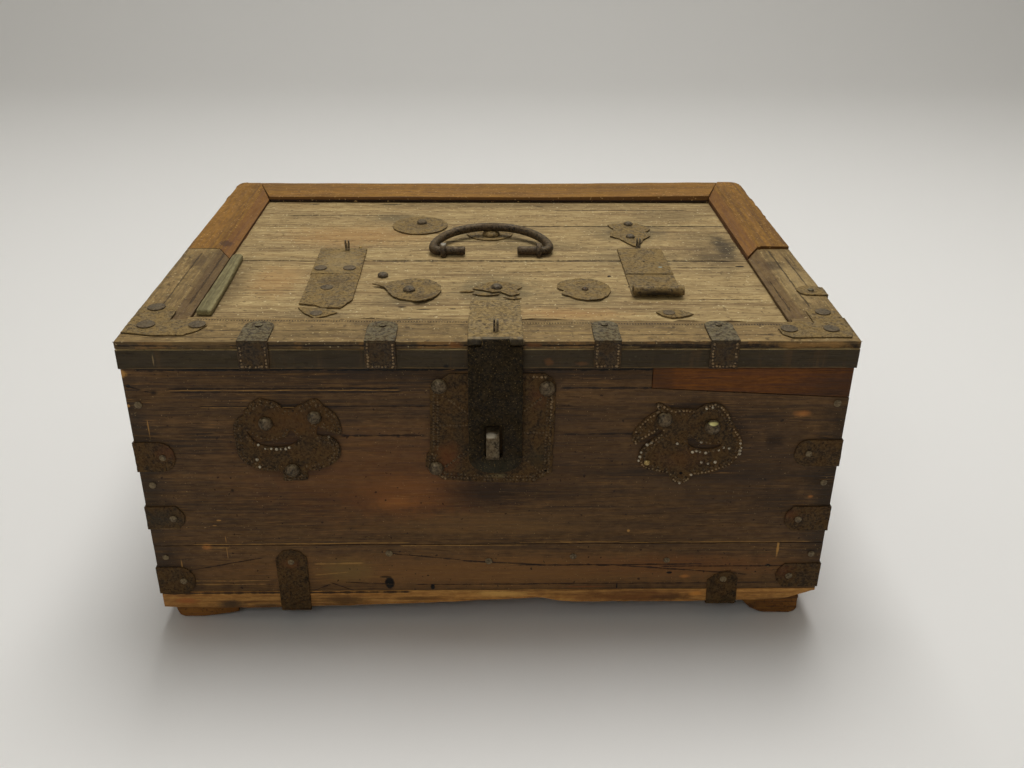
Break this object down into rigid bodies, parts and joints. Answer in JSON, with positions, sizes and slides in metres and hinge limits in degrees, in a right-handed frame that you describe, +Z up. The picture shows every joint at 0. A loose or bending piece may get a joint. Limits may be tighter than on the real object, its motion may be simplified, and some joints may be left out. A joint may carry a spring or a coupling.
{
  "type": "iron-bound wooden chest",
  "caption": "Low rectangular wooden chest on block feet, with a hinged framed lid, a slotted hasp over a staple, a bail handle on the lid and pierced iron plates and straps.",
  "frame": {"origin": "on the floor, under the middle of the whole chest", "axes": "+X to the right, -Y towards the front with the hasp, +Z up"},
  "size_m": [0.5128, 0.4046, 0.2515],
  "materials": {
    "front_wood": "old dark varnish, worn and scratched",
    "patch_wood": "reddish stain, grain showing",
    "wall_wood": "dark stain, dull",
    "base_wood": "bare, orange brown, rough",
    "panel_wood": "bare, grey brown, dusty",
    "old_frame_wood": "bare, grey brown, worn edges",
    "new_frame_wood": "orange brown, dull",
    "dark_iron": "dark reddish brown rust, oiled",
    "dusty_iron": "brown rust under dust, matt",
    "hasp_iron": "dark, pitted, worn bright at the bend",
    "bail_iron": "dark brown, worn smooth",
    "worn_steel": "worn, tarnished",
    "nail_iron": "dark bronze brown, domes worn smooth"
  },
  "bodies": {
    "chest": {"back_board_lower": "wall_wood", "back_board_upper": "wall_wood", "bottom_board": "base_wood", "bottom_strap_left": "dark_iron", "bottom_strap_right": "dark_iron", "box_nails": "nail_iron", "corner_strap_left_bottom": "dark_iron", "corner_strap_left_middle": "dark_iron", "corner_strap_left_top": "dark_iron", "corner_strap_right_bottom": "dark_iron", "corner_strap_right_middle": "dark_iron", "corner_strap_right_top": "dark_iron", "dome_nails": "nail_iron", "escutcheon_left": "dark_iron", "escutcheon_right": "dark_iron", "foot_back_left": "base_wood", "foot_back_right": "base_wood", "foot_front_left": "base_wood", "foot_front_right": "base_wood", "front_board_lower": "front_wood", "front_board_upper": "front_wood", "front_patch_strip": "patch_wood", "hinge_lower_leaves": "dark_iron", "hinge_pins": "worn_steel", "lock_plate": "dark_iron", "lock_staple": "worn_steel", "side_board_left": "wall_wood", "side_board_right": "wall_wood"},
    "lid": {"edge_strap_far_left": "dusty_iron", "edge_strap_far_right": "dusty_iron", "edge_strap_near_left": "dusty_iron", "edge_strap_near_right": "dusty_iron", "lid_back_rail": "new_frame_wood", "lid_bead_strip": "old_frame_wood", "lid_board_front": "panel_wood", "lid_board_middle": "panel_wood", "lid_board_rear": "panel_wood", "lid_corner_plate_left": "dusty_iron", "lid_corner_plate_right": "dusty_iron", "lid_front_rail": "old_frame_wood", "lid_front_stile_left": "old_frame_wood", "lid_front_stile_right": "old_frame_wood", "lid_nails": "nail_iron", "lid_rear_stile_left": "new_frame_wood", "lid_rear_stile_right": "new_frame_wood", "rosette_remnants": "dusty_iron", "rosettes": "dusty_iron", "top_strap_left_front": "dusty_iron", "top_strap_left_rear": "dusty_iron", "top_strap_right_front": "dusty_iron", "top_strap_right_rear": "dusty_iron", "side_strap": "dusty_iron", "bail_boss": "dusty_iron", "bail_eyes": "bail_iron", "hasp_leaf": "dusty_iron", "hasp_pin": "hasp_iron", "hinge_upper_leaves": "dusty_iron", "cotter_pins": "worn_steel"},
    "hasp": {"hasp": "hasp_iron"},
    "bail": {"bail": "bail_iron"}
  },
  "joints": [
    {"name": "lid_hinge", "type": "hinge", "parent": "chest", "child": "lid", "pos_m": [0, 0.19605, 0.2195], "axis": [-1, 0, 0], "range_deg": [0, 100]},
    {"name": "hasp_swing", "type": "hinge", "parent": "lid", "child": "hasp", "pos_m": [0.0035, -0.18975, 0.2421], "axis": [-1, 0, 0], "range_deg": [0, 220]},
    {"name": "bail_swing", "type": "hinge", "parent": "lid", "child": "bail", "pos_m": [0.001, 0.00026, 0.2396], "axis": [1, 0, 0], "range_deg": [0, 170]}
  ]
}
